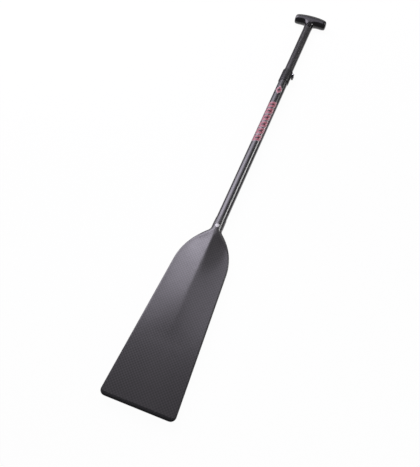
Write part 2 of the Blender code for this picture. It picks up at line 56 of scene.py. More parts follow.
CREASE_RADIUS = 3.0               # the ridge's crest is rounded by this much

SHAFT_RADIUS = 13.7
SHAFT_WALL = 0.7
SHAFT_START = 479.0
SHAFT_END = 1041.0
TUBE_LIP = 0.15                   # chamfer on a tube's ends
DISC_RADIUS = 5.25
DISC_THICKNESS = 0.5
DISC_LIFT = 0.25
DISC_Y = 480.5

COLLAR_RADIUS = 15.4
COLLAR_START = 1012.0
COLLAR_END = 1057.0
COLLAR_GROOVE = (5.0, 6.2)        # a shallow groove round the collar, from its lower end
COLLAR_GROOVE_DEPTH = 0.3
WIPER_DEPTH = 2.6
WIPER_SEAT_WALL = 0.9             # what is left of the collar's wall outside the wiper
LEVER_PIVOT_X = 18.6
LEVER_PIVOT_Y = 1047.0
LEVER_HALF_WIDTH = 4.0
LEVER_OPEN_DEG = 150.0
LEVER_TIP_Y = 1034.0
CAM_CLOSED = 3.1                  # cam radius that faces the shoe with the lever closed
CAM_OPEN = 2.5                    # and with the lever open
ARM_OUTER = [(2.9, -4.5), (3.0, -7.5)]      # (x, y) from the pivot, down the arm
ARM_INNER = [(-2.6, -8.0), (-2.7, -4.0)]    # and back up its inner side
ARM_TIP_RADIUS = 2.6
ARM_TIP_X = 0.4
LUG_THICKNESS = 2.2
LUG_ROOT_X = 13.6
LUG_ROOT_SPAN = (-5.5, 5.0)       # along the paddle, from the pivot
LUG_RADIUS = 3.0
PIN_RADIUS = 1.5
PIN_HEAD_RADIUS = 2.7
PIN_HEAD_HEIGHT = 1.4
PIN_CLEARANCE = 0.15
PIN_TAIL = 1.2                    # how far the pin stands out behind the clip's face
PIN_GAP = 0.2                     # between the lugs and the pin's head or clip
CLIP_THICKNESS = 0.8
WINDOW_X = (11.0, 16.4)           # the shoe's window goes right through the collar's wall
SHOE_HALF_HEIGHT = 3.4
SHOE_HALF_LENGTH = 3.6

INNER_RADIUS = 12.7
INNER_WALL = 1.2
INNER_START = 910.0
INNER_END = 1252.0

GRIP_RADIUS = 16.5
GRIP_END_RADIUS = 14.4
GRIP_HALF_LENGTH = 49.5
GRIP_DROOP = 4.5                  # how far the barrel's ends hang below its middle
GRIP_CAP_SHARE = 0.62             # the cage's last ring is this much of the end's radius
GRIP_NECK_RADIUS = 13.0
GRIP_NECK_DROPS = (22.0, 28.5)    # the neck's first two rings, below the barrel's middle
SPIGOT_HOLE_START = INNER_END - 8.0
SPIGOT_HOLE_END = 1278.3
SMOOTHING_LOSS = 0.25             # what the smoothing takes off the barrel's top
BARREL_COLUMNS = (-1.0, -0.93, -0.62, -0.34, 0.0, 0.34, 0.62, 0.93, 1.0)
CAGE_SPREAD = 3 / (2 + math.cos(math.radians(45)))    # a cage of eight sides shrinks by this much

AXIS_HEIGHT = GRIP_RADIUS         # the shaft's axis above the surface that the paddle lies on
BARREL_Y = LENGTH - GRIP_RADIUS + SMOOTHING_LOSS

# ---- fineness ----
SKIN_COLUMNS = 34
CREASE_COLUMNS = (0.006, 0.018)   # extra columns that keep the blade's crease crisp
TIP_STATIONS = (0.0, 0.15, 0.4, 0.8, 1.4, 2.2, 3.2, 4.4, 5.6, 6.8, 7.6, TIP_GUARD_DEPTH)
DISC_SIDES = 64
DISC_LEVELS = ((0.0, 1.0), (0.4, 1.0), (0.8, 1.0), (0.94, 0.9), (1.0, 0.55), (1.0, 0.0))    # share, rise
TUBE_SIDES = 128
TURN_SIDES = 96
SMALL_SIDES = 64                  # of the pin, its clip and the spigot's hole
HOLE_SIDES = 40                   # of the pin's holes
GRIP_ROUNDING = 4                 # levels of the grip's Subdivision Surface
SEAM = 0.05                       # half the parting line between the grip's shells
TOOL_MARGIN = 10.0                # how far a cutting box reaches past what it cuts
TOOL_HALF_DEPTH = 15.0

# ---- the printed marks on the shaft: six slanted blocks and a small diamond badge ----
MARK_LIFT = 0.05                  # of each printed layer above the one below it
MARK_STRIP = 0.6                  # width of the strips that keep the marks curved
MARK_TURN_DEG = -1.0              # where the marks' middle line lies, turned from +Z towards +X
BLOCK_START = 770.0
BLOCK_PITCH = 25.6
BLOCK_LENGTH = 22.0
BLOCK_COUNT = 6
BLOCK_HALF_WIDTH = 12.2
BLOCK_BORDER = 1.5                # pale border round each block's red
SLOT_HALF_LENGTH = 2.6            # the dark slot in the middle of each block
SLOT_HALF_WIDTH = 5.4
BLOCK_SLANT = 3.4
RED_SLANT_SHARE = 0.88            # a smaller outline slants by less, so that the borders stay even
SLOT_SLANT_SHARE = 0.44
BADGE_Y = 969.0
BADGE_HALF_LENGTH = 17.0
BADGE_HALF_WIDTH = 10.5
BADGE_SHARES = (1.0, 0.8, 0.4)    # of its pale, red and dark layers

# ---- light and camera, in metres ----
KEY_DISTANCE = 2.0                # radius of the big curved softbox over the paddle's left
# degrees from +Z towards -X, and radiance
KEY_COLUMNS = ((-4, 10, 1.3), (10, 20, 1.8), (20, 28, 3.9), (28, 50, 4.9), (50, 66, 3.8), (66, 80, 2.2))
# from and to along Y, and the share of the column's radiance
KEY_ROWS = ((0.2, 0.6, 0.85), (0.6, 1.2, 0.94), (1.2, 1.5, 0.95), (1.5, 2.25, 0.58))
KEY_TINT = (0.91, 0.86, 1.0)
EDGE_STRIP = {"place": (2.0, 1.6, 1.3), "aim": (0.0, 1.6, 0.0), "size": (1.2, 0.85), "radiance": 6.8}
FAR_STRIP = {"place": (-0.4, 3.2, 1.3), "aim": (-0.2, 0.0, 0.0), "size": (2.4, 0.8), "radiance": 1.3}
SKY_COLOUR = (1.0, 0.98, 1.0, 1.0)
SKY_FADE = (-0.65, -0.3)          # the surroundings go from bright below to dim above between these heights
SKY_STRENGTHS = (0.9, 0.1)
FLOOR_HALF = 8.0
FLOOR_DROP = 0.0004
CAMERA_PLACE = Vector((0.27301, -0.92325, 1.34321))
CAMERA_AIM = Vector((-0.01108, -0.19287, 0.01705))
CAMERA_ROLL_DEG = 0.27
CAMERA_LENS = 47.79
SENSOR = 36.0

TOW = 2.0                         # width of one carbon tow, in millimetres
UPRIGHT = (math.radians(90), 0, 0)    # turns a piece's axis from Y to Z


# ---- helpers ----
def at(x, y, z):
    """A point in the row frame, in metres, from millimetres beside the shaft's axis."""
    return Vector((x, y - LENGTH / 2, z + AXIS_HEIGHT)) * MM


def smooth_step(low, high, value):
    """0 below low, 1 above high, and an S-shaped rise between them."""
    t = min(max((value - low) / (high - low), 0.0), 1.0)
    return t * t * (3 - 2 * t)


def stations(start, end, count):
    """Evenly spaced places, with both ends."""
    return [start + (end - start) * k / (count - 1) for k in range(count)]


def spiral(centre, radii, start_deg, end_deg, steps):
    """Points round a centre, with a radius that changes evenly from the first of two to the second."""
    points = []
    for k in range(steps + 1):
        angle = math.radians(start_deg + (end_deg - start_deg) * k / steps)
        radius = radii[0] + (radii[1] - radii[0]) * k / steps
        points.append((centre[0] + radius * math.cos(angle), centre[1] + radius * math.sin(angle)))
    return points


def arc(centre, radius, start_deg, end_deg, steps):
    return spiral(centre, (radius, radius), start_deg, end_deg, steps)


def shade(colour, share):
    """The same colour, brighter or darker."""
    return tuple(c * share for c in colour)


# ---- materials ----
class Looks:
    """A material under construction: short calls that add nodes and link them."""

    def __init__(self, name):
        self.material = bpy.data.materials.new(name)
        self.material.use_nodes = True
        self.nodes = self.material.node_tree.nodes
        self.links = self.material.node_tree.links
        self.shader = self.nodes["Principled BSDF"]

    def set(self, **values):
        for socket, value in values.items():
            self.shader.inputs[socket.replace("_", " ")].default_value = value

    def feed(self, socket, output):
        self.links.new(output, self.shader.inputs[socket])

    def math(self, operation, first, second=None, third=None):
        made = self.nodes.new("ShaderNodeMath")
        made.operation = operation
        for index, value in enumerate((first, second, third)):
            if value is None:
                continue
            if isinstance(value, (int, float)):
                made.inputs[index].default_value = value
            else:
                self.links.new(value, made.inputs[index])
        return made.outputs[0]

    def place(self, kind="Object"):
        return self.nodes.new("ShaderNodeTexCoord").outputs[kind]

    def parts(self, vector):
        made = self.nodes.new("ShaderNodeSeparateXYZ")
        self.links.new(vector, made.inputs[0])
        return made.outputs

    def stretch(self, vector, scale):
        made = self.nodes.new("ShaderNodeVectorMath")
        made.operation = "MULTIPLY"
        self.links.new(vector, made.inputs[0])
        made.inputs[1].default_value = scale
        return made.outputs[0]

    def noise(self, vector, scale, detail=3.0, roughness=0.55):
        made = self.nodes.new("ShaderNodeTexNoise")
        made.inputs["Scale"].default_value = scale
        made.inputs["Detail"].default_value = detail
        made.inputs["Roughness"].default_value = roughness
        self.links.new(vector, made.inputs["Vector"])
        return made.outputs["Fac"]

    def cells(self, vector, scale, feature="F1"):
        made = self.nodes.new("ShaderNodeTexVoronoi")
        made.feature = feature
        made.inputs["Scale"].default_value = scale
        self.links.new(vector, made.inputs["Vector"])
        return made.outputs["Distance"]

    def band(self, value, low, high, to_low=0.0, to_high=1.0):
        made = self.nodes.new("ShaderNodeMapRange")
        for index, number in enumerate((low, high, to_low, to_high)):
            made.inputs[index + 1].default_value = number
        self.links.new(value, made.inputs[0])
        return made.outputs[0]

    def blend(self, share, first, second):
        made = self.nodes.new("ShaderNodeMix")
        made.data_type = "RGBA"
        self.links.new(share, made.inputs["Factor"])
        for socket, value in ((6, first), (7, second)):
            if isinstance(value, tuple):
                made.inputs[socket].default_value = (*value, 1.0)
            else:
                self.links.new(value, made.inputs[socket])
        return made.outputs[2]

    def relief(self, height, distance_mm, strength=1.0, under=None):
        made = self.nodes.new("ShaderNodeBump")
        made.inputs["Strength"].default_value = strength
        made.inputs["Distance"].default_value = distance_mm * MM
        self.links.new(height, made.inputs["Height"])
        if under is not None:
            self.links.new(under, made.inputs["Normal"])
        return made.outputs[0]


def carbon_weave(name, warp, weft, roughness, weave_strength):
    """Two-by-two basket weave under a satin clear coat, with painted sheen on the weft tows and painted shade
    in the valleys between tows; the UV map is in metres across and along.
    """
    look = Looks(name)
    across, along, _ = look.parts(look.place("UV"))
    column = look.math("DIVIDE", across, TOW * MM)
    row = look.math("DIVIDE", along, TOW * MM)
    pair_column = look.math("FLOOR", look.math("MULTIPLY", column, 0.5))
    pair_row = look.math("FLOOR", look.math("MULTIPLY", row, 0.5))
    warp_on_top = look.math("FLOORED_MODULO", look.math("ADD", pair_column, pair_row), 2.0)
    crown_u = look.math("PINGPONG", column, 0.5)
    crown_v = look.math("PINGPONG", row, 0.5)
    difference = look.math("SUBTRACT", crown_u, crown_v)
    crown = look.math("MULTIPLY_ADD", warp_on_top, difference, crown_v)
    tow_height = look.math("POWER", look.math("MULTIPLY", crown, 2.0), 0.5)

    where = look.place()
    ply = look.noise(look.stretch(where, (9.0, 3.0, 9.0)), 1.0, 3.0)
    fibres_along = look.noise(look.stretch(look.place("UV"), (9000.0, 350.0, 1.0)), 1.0, 2.0)
    fibres_across = look.noise(look.stretch(look.place("UV"), (350.0, 9000.0, 1.0)), 1.0, 2.0)
    # Painted sheen: the weft tows take a lighter colour than the warp tows, standing in for the different
    # reflection of the two fibre directions.
    warp_colour = look.blend(fibres_along, shade(warp, 0.75), shade(warp, 1.25))
    weft_colour = look.blend(fibres_across, shade(weft, 0.75), shade(weft, 1.25))
    tows = look.blend(warp_on_top, weft_colour, warp_colour)
    # Painted shade: each tow darkens towards its edges, down to a darker warp colour, as if shade fell in the
    # valleys between tows.
    edges = look.band(tow_height, 0.15, 0.6, 0.72, 1.0)
    shaded = look.blend(edges, shade(warp, 0.55), tows)
    look.feed("Base Color", look.blend(look.band(ply, 0.3, 0.7, 0.0, 0.18), shaded, shade(weft, 1.6)))

    handled = look.noise(where, 42.0, 5.0, 0.65)
    base = look.math("MULTIPLY_ADD", warp_on_top, 0.05, roughness)
    look.feed("Roughness", look.math("ADD", look.band(handled, 0.35, 0.7, -0.02, 0.05), base))
    weave = look.relief(tow_height, 0.03, weave_strength)
    look.feed("Normal", look.relief(look.noise(where, 900.0, 2.0), 0.02, weave_strength * 0.5, weave))
    look.set(Coat_Weight=1.0, Coat_Roughness=0.16, Coat_IOR=1.5, IOR=1.55)
    return look.material


def moulded(name, colour, roughness, grain_mm, grain_strength, coat):
    """Injection-moulded plastic: a fine grain, soft flow marks and slight rubbing."""
    look = Looks(name)
    wear = (0.06, 0.06, 0.062)
    where = look.place()
    flow = look.noise(look.stretch(where, (30.0, 12.0, 30.0)), 1.0, 4.0)
    scuffs = look.noise(look.stretch(where, (900.0, 90.0, 900.0)), 1.0, 4.0, 0.7)
    rubbed = look.band(scuffs, 0.62, 0.8, 0.0, 0.35)
    tinted = look.blend(flow, shade(colour, 0.8), shade(colour, 1.3))
    look.feed("Base Color", look.blend(rubbed, tinted, wear))
    gloss = look.band(flow, 0.3, 0.7, roughness - 0.03, roughness + 0.05)
    look.feed("Roughness", look.math("ADD", gloss, look.math("MULTIPLY", rubbed, 0.25)))
    grain = look.cells(where, 1.0 / (grain_mm * MM), "SMOOTH_F1")
    look.feed("Normal", look.relief(grain, grain_mm * 0.15, grain_strength))
    look.set(Coat_Weight=coat, Coat_Roughness=0.06, IOR=1.52)
    return look.material


def edge_resin():
    """The filled resin strip across the tip, scratched by sand and concrete."""
    look = Looks("visual_edge_resin")
    where = look.place()
    specks = look.cells(where, 1600.0)
    flour = look.band(specks, 0.0, 0.35, 1.0, 0.0)
    nicks = look.noise(look.stretch(where, (260.0, 900.0, 260.0)), 1.0, 5.0, 0.7)
    worn = look.band(nicks, 0.6, 0.74, 0.0, 0.6)
    resin = look.blend(flour, (0.006, 0.006, 0.007), (0.014, 0.014, 0.016))
    look.feed("Base Color", look.blend(worn, resin, (0.05, 0.05, 0.052)))
    look.feed("Roughness", look.band(nicks, 0.3, 0.75, 0.38, 0.62))
    look.feed("Normal", look.relief(nicks, 0.05, 0.5))
    look.set(IOR=1.54)
    return look.material


def white_vinyl():
    """Glossy white sticker film, very slightly grimed."""
    look = Looks("visual_white_vinyl")
    where = look.place()
    grime = look.noise(where, 320.0, 4.0)
    dirt = look.band(grime, 0.45, 0.8, 0.0, 0.25)
    look.feed("Base Color", look.blend(dirt, (0.97, 0.97, 0.96), (0.8, 0.79, 0.77)))
    look.feed("Roughness", look.band(grime, 0.3, 0.8, 0.28, 0.45))
    look.feed("Normal", look.relief(look.noise(where, 1400.0, 2.0), 0.02, 0.4))
    look.set(Coat_Weight=0.3, Coat_Roughness=0.15)
    return look.material


def printed_ink(name, colour, pale):
    """Printed vinyl: an even ink with a fine dot screen and slight fading."""
    look = Looks(name)
    where = look.place()
    dots = look.cells(look.place("UV"), 2600.0)
    fading = look.noise(where, 90.0, 4.0)
    screened = look.blend(look.band(dots, 0.1, 0.5, 0.0, 0.22), colour, pale)
    look.feed("Base Color", look.blend(look.band(fading, 0.4, 0.75, 0.0, 0.3), screened, shade(colour, 0.7)))
    look.feed("Roughness", look.band(fading, 0.3, 0.7, 0.3, 0.42))
    look.set(Coat_Weight=0.4, Coat_Roughness=0.2)
    return look.material


def rubber():
    """Matt rubber with a fine pebble and a pale bloom."""
    look = Looks("visual_rubber")
    where = look.place()
    bloom = look.noise(where, 260.0, 4.0)
    look.feed("Base Color", look.blend(bloom, (0.012, 0.012, 0.012), (0.035, 0.035, 0.036)))
    look.feed("Roughness", look.band(bloom, 0.3, 0.7, 0.7, 0.9))
    look.feed("Normal", look.relief(look.cells(where, 2400.0), 0.05, 0.5))
    return look.material


def steel():
    """Turned and polished stainless steel: fine rings from the lathe, a few scratches."""
    look = Looks("visual_steel")
    where = look.place()
    lines = look.noise(look.stretch(where, (4000.0, 4000.0, 90.0)), 1.0, 3.0)
    scratches = look.noise(look.stretch(where, (300.0, 4200.0, 700.0)), 1.0, 4.0, 0.7)
    marked = look.band(scratches, 0.5, 0.75)
    look.feed("Base Color", look.blend(marked, (0.74, 0.74, 0.75), (0.55, 0.55, 0.56)))
    look.feed("Roughness", look.band(lines, 0.3, 0.7, 0.14, 0.3))
    look.feed("Normal", look.relief(scratches, 0.01, 0.4))
    look.set(Metallic=1.0)
    return look.material


def foam():
    """Rigid closed-cell foam, cut and sanded, so that its cells show as pits, with painted shade darkening
    their hollows.
    """
    look = Looks("visual_foam")
    where = look.place()
    cells = look.cells(where, 1400.0)
    patches = look.noise(where, 60.0, 4.0)
    pits = look.band(cells, 0.05, 0.45)
    sanded = look.blend(patches, (0.72, 0.69, 0.58), (0.8, 0.78, 0.7))
    # Painted shade: the base colour is darker inside the cells' pits, as if shade fell into the hollows.
    look.feed("Base Color", look.blend(pits, (0.5, 0.47, 0.38), sanded))
    look.feed("Roughness", look.band(patches, 0.3, 0.7, 0.85, 0.95))
    look.feed("Normal", look.relief(pits, 0.25, 0.6))
    return look.material


def bare_laminate():
    """Uncoated carbon laminate: dull, with the print of its peel ply."""
    look = Looks("visual_carbon_core")
    where = look.place()
    x, y, z = look.parts(where)
    threads_round = look.math("SINE", look.math("MULTIPLY", look.math("ADD", x, z), 5200.0))
    threads_along = look.math("SINE", look.math("MULTIPLY", y, 5200.0))
    threads = look.math("MULTIPLY", threads_round, threads_along)
    dust = look.noise(where, 120.0, 4.0)
    look.feed("Base Color", look.blend(dust, (0.02, 0.02, 0.021), (0.05, 0.05, 0.052)))
    look.feed("Roughness", look.band(dust, 0.3, 0.7, 0.5, 0.7))
    look.feed("Normal", look.relief(threads, 0.03, 0.5))
    return look.material


def acetal():
    """Machined white acetal, with the lathe's rings."""
    look = Looks("visual_acetal")
    where = look.place()
    marks = look.noise(look.stretch(where, (200.0, 2600.0, 200.0)), 1.0, 3.0)
    look.feed("Base Color", look.blend(marks, (0.72, 0.72, 0.69), (0.84, 0.84, 0.81)))
    look.feed("Roughness", look.band(marks, 0.3, 0.7, 0.35, 0.5))
    look.feed("Normal", look.relief(marks, 0.02, 0.4))
    look.set(Subsurface_Weight=0.05)
    return look.material


def plain_floor():
    """A white studio floor that is lit evenly from below, as a light table is."""
    look = Looks("floor_white")
    patches = look.noise(look.place(), 0.6, 2.0)
    look.feed("Base Color", look.blend(patches, (0.03, 0.03, 0.03), (0.04, 0.04, 0.04)))
    look.feed("Emission Color", look.blend(patches, (0.98, 0.98, 0.98), (1.0, 1.0, 1.0)))
    look.set(Roughness=0.9, Emission_Strength=0.98, Specular_IOR_Level=0.0)
    return look.material


def make_materials():
    return {
        # Painted sheen: in each weave the second (weft) colour is lighter than the first (warp), standing in
        # for the fibres' directional reflection.
        "carbon": carbon_weave("visual_carbon", (0.029, 0.027, 0.028), (0.058, 0.055, 0.057), 0.40, 0.5),
        "tube": carbon_weave("visual_tube_carbon", (0.026, 0.024, 0.026), (0.030, 0.028, 0.030), 0.26, 0.05),
        "resin": edge_resin(),
        "white": white_vinyl(),
        "nylon": moulded("visual_black_nylon", (0.011, 0.011, 0.012), 0.36, 0.35, 0.04, 0.3),
        "grip": moulded("visual_grip_gloss", (0.010, 0.0095, 0.011), 0.2, 0.5, 0.05, 0.5),
        "red": printed_ink("visual_red_ink", (0.42, 0.08, 0.12), (0.72, 0.42, 0.46)),
        "pale": printed_ink("visual_pale_ink", (0.52, 0.36, 0.4), (0.7, 0.58, 0.62)),
        "ink": printed_ink("visual_black_ink", (0.02, 0.018, 0.02), (0.06, 0.05, 0.055)),
        "rubber": rubber(),
        "steel": steel(),
        "foam": foam(),
        "laminate": bare_laminate(),
        "acetal": acetal(),
    }


# ---- mesh builders ----
def add_piece(name, made, look, body, stands_for=(), smooth_deg=35.0, place=Vector((0, 0, 0))):
    """Turns a bmesh into a piece that rides on a CAD body and takes one material slot."""
    bmesh.ops.recalc_face_normals(made, faces=made.faces)
    mesh = bpy.data.meshes.new(name)
    made.to_mesh(mesh)
    made.free()
    mesh.shade_smooth()
    mesh.set_sharp_from_angle(angle=math.radians(smooth_deg))
    mesh.materials.append(look)
    piece = bpy.data.objects.new(name, mesh)
    piece.location = place
    bpy.context.collection.objects.link(piece)
    if body:
        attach(piece, body)
    if stands_for:
        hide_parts(*stands_for)
    return piece


def soften(piece, width_mm, segments):
    """A small rounding on the sharp edges."""
    rounding = piece.modifiers.new("soft_edges", "BEVEL")
    rounding.width = width_mm * MM
    rounding.segments = segments
    rounding.limit_method = "ANGLE"
    rounding.angle_limit = math.radians(30)
    rounding.harden_normals = True


def hide_tool(tool):
    """Keeps a cutting tool out of every render."""
    tool.hide_render = True
    tool.display_type = "WIRE"
    return tool


def cut(piece, tool, operation="DIFFERENCE"):
    """A Boolean with a hidden tool, which is parented to the piece so that it moves along in every pose."""
    change = piece.modifiers.new(tool.name, "BOOLEAN")
    change.operation = operation
    change.solver = "EXACT"
    change.object = tool
    bpy.context.view_layer.update()
    tool.parent = piece
    tool.matrix_parent_inverse = piece.matrix_world.inverted()


def turned(profile, sides=TURN_SIDES):
    """A closed (radius, height) profile turned about Y; the UV map is in metres round and along."""
    made = bmesh.new()
    uv = made.loops.layers.uv.new("UVMap")
    profile_length = [0.0]
    for (r0, y0), (r1, y1) in zip(profile, profile[1:] + profile[:1]):
        profile_length.append(profile_length[-1] + math.hypot(r1 - r0, y1 - y0))
    outer = max(r for r, y in profile)
    rings = []
    for index in range(sides + 1):
        angle = 2 * math.pi * index / sides
        rings.append([made.verts.new(Vector((r * math.sin(angle), y, r * math.cos(angle))) * MM)
                      for r, y in profile])
    count = len(profile)
    for index in range(sides):
        around = [2 * math.pi * (index + k) / sides * outer for k in (0, 1)]
        ring, next_ring = rings[index], rings[index + 1]
        for k in range(count):
            n = (k + 1) % count
            face = made.faces.new((ring[k], ring[n], next_ring[n], next_ring[k]))
            spots = ((around[0], profile_length[k]), (around[0], profile_length[k + 1]),
                     (around[1], profile_length[k + 1]), (around[1], profile_length[k]))
            for loop, spot in zip(face.loops, spots):
                loop[uv].uv = (spot[0] * MM, spot[1] * MM)
    bmesh.ops.remove_doubles(made, verts=made.verts, dist=1e-7)
    return made


def plate(outline, half_height):
    """A flat outline of (x, y) points, thickened both ways in Z."""
    made = bmesh.new()
    low = [made.verts.new(Vector((x, y, -half_height)) * MM) for x, y in outline]
    high = [made.verts.new(Vector((x, y, half_height)) * MM) for x, y in outline]
    made.faces.new(low)
    made.faces.new(high)
    for k in range(len(outline)):
        n = (k + 1) % len(outline)
        made.faces.new((low[k], low[n], high[n], high[k]))
    return made


def lofted(rows):
    """A closed solid between two grids; rows hold (x, y, low z, high z), and UVs follow the upper grid."""
    made = bmesh.new()
    uv = made.loops.layers.uv.new("UVMap")
    low = [[made.verts.new(at(x, y, below)) for x, y, below, above in row] for row in rows]
    high = [[made.verts.new(at(x, y, above)) for x, y, below, above in row] for row in rows]
    spots = {}
    for r, row in enumerate(rows):
        outer = 3 if abs(row[len(row) // 2][3]) >= abs(row[len(row) // 2][2]) else 2
        lengths = [0.0]
        for before, after in zip(row, row[1:]):
            lengths.append(lengths[-1] + math.hypot(after[0] - before[0], after[outer] - before[outer]))
        for k, point in enumerate(row):
            spot = ((lengths[k] - lengths[-1] / 2) * MM, point[1] * MM)
            spots[low[r][k]] = spot
            spots[high[r][k]] = spot
    last_row = len(rows) - 1
    last = len(rows[0]) - 1
    quads = []
    for r in range(last_row):
        for k in range(last):
            quads.append((high[r][k], high[r][k + 1], high[r + 1][k + 1], high[r + 1][k]))
            quads.append((low[r][k], low[r + 1][k], low[r + 1][k + 1], low[r][k + 1]))
        for k in (0, last):
            quads.append((low[r][k], low[r + 1][k], high[r + 1][k], high[r][k]))
    for r in (0, last_row):
        for k in range(last):
            quads.append((low[r][k], low[r][k + 1], high[r][k + 1], high[r][k]))
    for quad in quads:
        face = made.faces.new(quad)
        for loop in face.loops:
            loop[uv].uv = spots[loop.vert]
    return made


# ---- the blade's shape, as in the CAD source ----
def shoulder_centre():
    """The centre of the shoulder's arc, which touches the straight edge and the fillet's arc."""
    slope = math.sqrt(1 + EDGE_TAPER ** 2)
    both = SHOULDER_RADIUS + FILLET_RADIUS
    offset = NECK_HALF_WIDTH + FILLET_RADIUS - TIP_HALF_WIDTH + SHOULDER_RADIUS * slope
    a = slope ** 2
    b = 2 * (offset * EDGE_TAPER - FILLET_END)
    c = offset ** 2 + FILLET_END ** 2 - both ** 2
    y = (-b - math.sqrt(b * b - 4 * a * c)) / (2 * a)
    return TIP_HALF_WIDTH - EDGE_TAPER * y - SHOULDER_RADIUS * slope, y


SHOULDER_X, SHOULDER_Y = shoulder_centre()
SHOULDER_START = SHOULDER_Y + SHOULDER_RADIUS * EDGE_TAPER / math.sqrt(1 + EDGE_TAPER ** 2)
FILLET_X = NECK_HALF_WIDTH + FILLET_RADIUS
FILLET_START = SHOULDER_Y + (FILLET_END - SHOULDER_Y) * SHOULDER_RADIUS / (SHOULDER_RADIUS + FILLET_RADIUS)


def half_width(y):
    """From the middle line to the blade's edge."""
    if y < CORNER_RADIUS:
        edge = TIP_HALF_WIDTH - EDGE_TAPER * CORNER_RADIUS - CORNER_RADIUS
        return edge + math.sqrt(CORNER_RADIUS ** 2 - (CORNER_RADIUS - y) ** 2)
    if y < SHOULDER_START:
        return TIP_HALF_WIDTH - EDGE_TAPER * y
    if y < FILLET_START:
        return SHOULDER_X + math.sqrt(SHOULDER_RADIUS ** 2 - (y - SHOULDER_Y) ** 2)
    if y < FILLET_END:
        return FILLET_X - math.sqrt(FILLET_RADIUS ** 2 - (y - FILLET_END) ** 2)
    taper = smooth_step(NECK_TAPER_START, NECK_END, y)
    return NECK_HALF_WIDTH + (NECK_TOP_HALF_WIDTH - NECK_HALF_WIDTH) * taper


def rounded_distance(x):
    """Distance from the middle line, with the corner at zero rounded off."""
    return math.hypot(x, CREASE_RADIUS) - CREASE_RADIUS


def surface(x, y):
    """Height of the front face above the blade's middle plane."""
    width = half_width(y)
    neck = smooth_step(*NECK_RISE, y)
    inward = max(width - abs(x), 0.0)
    curl = EDGE_HALF_THICKNESS + (width - EDGE_HALF_THICKNESS) * neck ** 2
    rim_height = EDGE_HALF_THICKNESS + (min(width, NECK_HALF_WIDTH) - EDGE_HALF_THICKNESS) * neck ** 2
    rim = rim_height * math.sqrt(1 - (1 - min(inward / curl, 1.0)) ** 2)
    fall = min(max((y - RIDGE_END) / (RIDGE_START - RIDGE_END), 0.0), 1.0)
    ridge_height = EDGE_HALF_THICKNESS + (NECK_HALF_WIDTH - EDGE_HALF_THICKNESS) * fall ** RIDGE_FALL
    tent = max(1.0 - rounded_distance(x) / rounded_distance(width), 0.0) ** RIDGE_HOLLOW
    return max(rim + max(ridge_height - rim_height, 0.0) * tent, FIT / 2 + EDGE_FLAT)


def cavity(x, y):
    """Height of the front skin's inner face: its hollow, and its solid border."""
    border = FIT / 2
    if y >= SHAFT_START - 1.0:
        bore = SHAFT_RADIUS + FIT
        return border if abs(x) >= bore else math.sqrt(bore ** 2 - x ** 2)
    if y < TIP_GUARD_DEPTH + SKIN_MARGIN or abs(x) > half_width(y) - SKIN_MARGIN:
        return border
    return max(surface(x, y) - SKIN, border)


def across():
    """Shares of the half-width from edge to edge: closest at the edges, and close at the crease."""
    one_side = [math.sin(math.pi / 2 * k / SKIN_COLUMNS) for k in range(1, SKIN_COLUMNS + 1)]
    right = sorted([*CREASE_COLUMNS, *one_side])
    return [-share for share in reversed(right)] + [0.0] + right


def blade_stations():
    """Places along the skins: closest where the outline or the surface changes quickly."""
    tip = TIP_GUARD_DEPTH + FIT
    plain = stations(tip + SKIN_MARGIN, SHOULDER_START, 46)
    shoulder = stations(SHOULDER_START, FILLET_START, 26)[1:]
    fillet = stations(FILLET_START, SHAFT_START - 1.2, 14)[1:]
    neck = [SHAFT_START - 0.9] + stations(SHAFT_START + 4, NECK_END, 10)
    return [tip, tip + 0.4, tip + 1.6, tip + SKIN_MARGIN - 0.5] + plain + shoulder + fillet + neck


def blade_skin(name, side, look):
    """One half of the blade's shell; side is 1 for the front and -1 for the back."""
    rows = []
    for y in blade_stations():
        width = half_width(y)
        row = []
        for share in across():
            x = share * width
            inner, outer = cavity(x, y), surface(x, y)
            row.append((x, y, inner, outer) if side > 0 else (x, y, -outer, -inner))
        rows.append(row)
    return add_piece(f"{name}_weave", lofted(rows), look, "paddle", [name])


def tip_guard(look):
    """The strip across the tip, rounded over from its flat end and at both edges."""
    rows = []
    for y in TIP_STATIONS:
        share = min(y / (TIP_GUARD_DEPTH - 1.0), 1.0)
        height = TIP_FLAT_HALF + (EDGE_HALF_THICKNESS - TIP_FLAT_HALF) * math.sqrt(1 - (1 - share) ** 2)
        width = half_width(y)
        row = []
        for k in across():
            inward = width * (1 - abs(k))
            curl = min(inward / EDGE_HALF_THICKNESS, 1.0)
            here = max(height * math.sqrt(1 - (1 - curl) ** 2), EDGE_FLAT + FIT / 2)
            row.append((k * width, y, -here, here))
        rows.append(row)
    return add_piece("tip_guard_resin", lofted(rows), look, "paddle", ["blade_tip_guard"], 50)


def approval_disc(look):
    """A thin blank vinyl disc on the neck, with a softly rolled edge."""
    made = bmesh.new()
    rings = []
    for share, rise in DISC_LEVELS:
        lift = DISC_LIFT + DISC_THICKNESS * rise
        ring = []
        for k in range(DISC_SIDES):
            angle = 2 * math.pi * k / DISC_SIDES
            x = DISC_RADIUS * share * math.cos(angle)
            y = DISC_Y + DISC_RADIUS * share * math.sin(angle)
            ring.append(made.verts.new(at(x, y, surface(x, max(y, RIDGE_START)) + lift)))
        rings.append(ring)
    for inner, outer in zip(rings, rings[1:]):
        for k in range(DISC_SIDES):
            n = (k + 1) % DISC_SIDES
            made.faces.new((inner[k], outer[k], outer[n], inner[n]))
    bmesh.ops.remove_doubles(made, verts=made.verts, dist=1e-7)
    return add_piece("approval_disc_vinyl", made, look, "paddle", ["approval_disc"])


# ---- the shaft and its printed marks ----
def tube(name, outer, inner, start, end, look, body, node):
    """A tube along the paddle's axis, with a small chamfer outside at both ends."""
    profile = [(outer - TUBE_LIP, start), (outer, start + TUBE_LIP), (outer, end - TUBE_LIP),
               (outer - TUBE_LIP, end), (inner, end), (inner, start)]
    return add_piece(name, turned(profile, TUBE_SIDES), look, body, [node], place=at(0, 0, 0))


